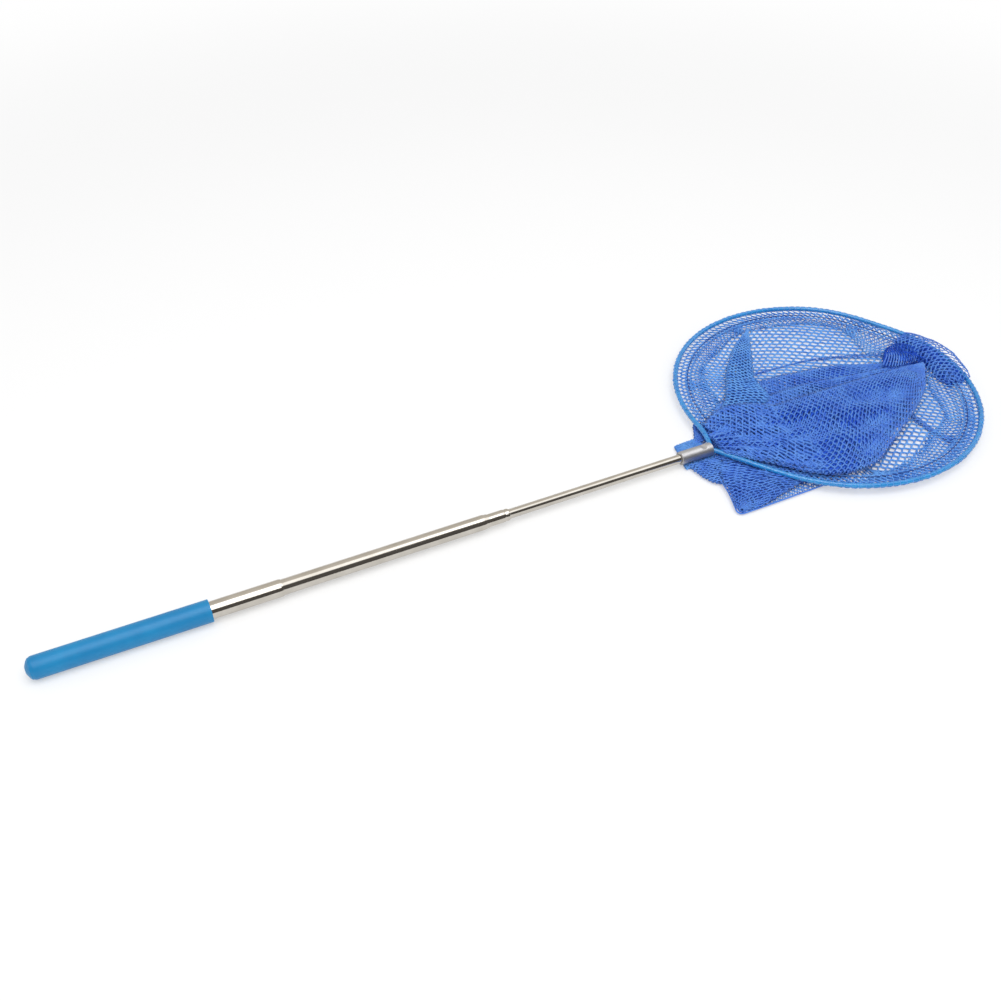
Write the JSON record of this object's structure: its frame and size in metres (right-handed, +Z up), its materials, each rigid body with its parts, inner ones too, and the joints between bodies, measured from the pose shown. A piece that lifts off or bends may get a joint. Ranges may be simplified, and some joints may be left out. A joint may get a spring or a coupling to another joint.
{
  "type": "butterfly net",
  "caption": "Telescopic butterfly net: sleeve grip, nested steel tubes that slide and turn, crimped ferrule, sleeved wire hoop and a collapsed mesh bag with a stitched hem.",
  "frame": {"origin": "middle of the bounding box, on the surface that the net lies on", "axes": "+X along the pole from the grip to the hoop, +Z up, +Y to the far side of the hoop"},
  "size_m": [0.6348, 0.2092, 0.0152],
  "materials": {
    "grip": "semi-matte azure PVC",
    "steel_tube": "polished stainless steel",
    "shim": "spring bronze strip",
    "ferrule": "satin",
    "wire": "drawn spring wire",
    "sleeve": "glossy azure PVC tube",
    "mesh": "blue knitted polyester mesh",
    "thread": "dark blue sewing thread"
  },
  "bodies": {
    "handle": {"grip": "grip", "tube_1": "steel_tube"},
    "shims_2": {"shim_2_a": "shim", "shim_2_b": "shim"},
    "tube_2": {"tube_2": "steel_tube"},
    "shims_3": {"shim_3_a": "shim", "shim_3_b": "shim"},
    "tube_3": {"tube_3": "steel_tube"},
    "shims_4": {"shim_4_a": "shim", "shim_4_b": "shim"},
    "tube_4": {"tube_4": "steel_tube"},
    "shims_5": {"shim_5_a": "shim", "shim_5_b": "shim"},
    "head": {"tube_5": "steel_tube", "ferrule": "ferrule", "hoop_wire": "wire", "hoop_sleeve": "sleeve", "net_hem": "mesh", "hem_stitching": "thread", "net_bag": "mesh", "bag_seam": "thread"}
  },
  "joints": [
    {"name": "tube_2_slide", "type": "slide", "parent": "handle", "child": "shims_2", "axis": [1, 0, 0], "range_m": [-0.1204, 0]},
    {"name": "tube_2_swivel", "type": "hinge", "parent": "shims_2", "child": "tube_2", "pos_m": [-0.18, -0.02134, 0.00645], "axis": [1, 0, 0], "continuous": true},
    {"name": "tube_3_slide", "type": "slide", "parent": "tube_2", "child": "shims_3", "axis": [1, 0, 0], "range_m": [-0.0059, 0.1075]},
    {"name": "tube_3_swivel", "type": "hinge", "parent": "shims_3", "child": "tube_3", "pos_m": [-0.18, -0.02134, 0.00645], "axis": [1, 0, 0], "continuous": true},
    {"name": "tube_4_slide", "type": "slide", "parent": "tube_3", "child": "shims_4", "axis": [1, 0, 0], "range_m": [0, 0.1174]},
    {"name": "tube_4_swivel", "type": "hinge", "parent": "shims_4", "child": "tube_4", "pos_m": [-0.18, -0.02134, 0.00645], "axis": [1, 0, 0], "continuous": true},
    {"name": "tube_5_slide", "type": "slide", "parent": "tube_4", "child": "shims_5", "axis": [1, 0, 0], "range_m": [-0.1178, 0]},
    {"name": "tube_5_swivel", "type": "hinge", "parent": "shims_5", "child": "head", "pos_m": [-0.18, -0.02134, 0.00645], "axis": [1, 0, 0], "continuous": true}
  ]
}
